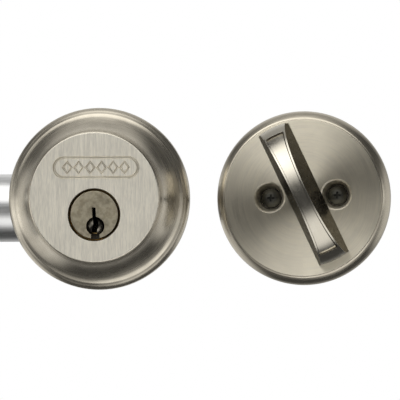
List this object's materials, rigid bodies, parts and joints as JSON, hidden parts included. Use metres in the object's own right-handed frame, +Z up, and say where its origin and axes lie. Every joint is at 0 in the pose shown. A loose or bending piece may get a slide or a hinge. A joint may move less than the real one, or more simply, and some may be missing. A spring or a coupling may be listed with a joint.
{
  "type": "deadbolt door lock",
  "caption": "Single-cylinder deadbolt: keyed outside housing, sliding bolt unit with forked cam, and inside rose with thumbturn.",
  "frame": {"origin": "centre of the outside housing, on the plane of the door's outer face", "axes": "+Z up, +Y into the door, the bolt runs out towards -X, the keyed face and the displayed inside half face -Y"},
  "size_m": [0.1857, 0.069, 0.0666],
  "materials": {
    "satin_nickel": "brushed satin nickel plate",
    "plug_nickel": "dull nickel plate over brass",
    "brass": "machined",
    "zinc_steel": "zinc-plated sheet steel",
    "hard_steel": "ground hardened steel",
    "spring_steel": "spring steel",
    "screw_steel": "dark nickel-plated steel",
    "bushing_plastic": "moulded acetal"
  },
  "bodies": {
    "root": {"outside_housing": "satin_nickel", "cylinder_body": "brass", "cylinder_retainer_plate": "zinc_steel", "retainer_screws": "screw_steel", "threaded_posts": "screw_steel", "anti_drill_pins": "hard_steel", "pin_springs": "spring_steel", "pin_chamber_cap": "brass", "driver_pin_1": "hard_steel", "driver_pin_2": "hard_steel", "driver_pin_3": "hard_steel", "driver_pin_4": "hard_steel", "driver_pin_5": "hard_steel", "bolt_faceplate": "satin_nickel", "bolt_backplate": "zinc_steel", "bolt_tube": "zinc_steel", "bolt_case_left": "zinc_steel", "bolt_case_right": "zinc_steel", "case_rivets": "zinc_steel", "inside_rose": "satin_nickel", "inside_backplate": "zinc_steel", "through_bolts": "screw_steel", "thumbturn_bushing": "bushing_plastic"},
    "plug": {"plug": "plug_nickel", "plug_cap": "brass", "key_pin_1": "brass", "key_pin_2": "brass", "key_pin_3": "brass", "key_pin_4": "brass", "key_pin_5": "brass"},
    "cam": {"tailpiece": "zinc_steel", "bolt_cam": "zinc_steel"},
    "bolt": {"bolt": "satin_nickel", "bolt_tail": "zinc_steel", "bolt_tail_rivet": "zinc_steel", "bolt_drive_pin": "zinc_steel", "saw_guard_roller": "hard_steel"},
    "thumbturn": {"thumbturn": "satin_nickel", "thumbturn_hub": "brass", "thumbturn_washer": "spring_steel", "thumbturn_clip": "spring_steel"}
  },
  "joints": [
    {"name": "thumbturn_turn", "type": "hinge", "parent": "root", "child": "thumbturn", "pos_m": [0.0757, 0, 0.0012], "axis": [0, 1, 0], "range_deg": [-65, 25]},
    {"name": "plug_turn", "type": "hinge", "parent": "root", "child": "plug", "pos_m": [0, 0, -0.0064], "axis": [0, 1, 0], "range_deg": [-90, 90]},
    {"name": "cam_turn", "type": "hinge", "parent": "root", "child": "cam", "pos_m": [0, 0.02223, -0.0064], "axis": [0, 1, 0], "range_deg": [-25, 65]},
    {"name": "bolt_throw", "type": "slide", "parent": "root", "child": "bolt", "axis": [-1, 0, 0], "range_m": [-0.01835, 0.00706]}
  ],
  "couplings": [
    {"joint": "cam_turn", "follows": "thumbturn_turn", "ratio": -1},
    {"joint": "bolt_throw", "follows": "thumbturn_turn", "m_per_rad": 0.01617}
  ]
}
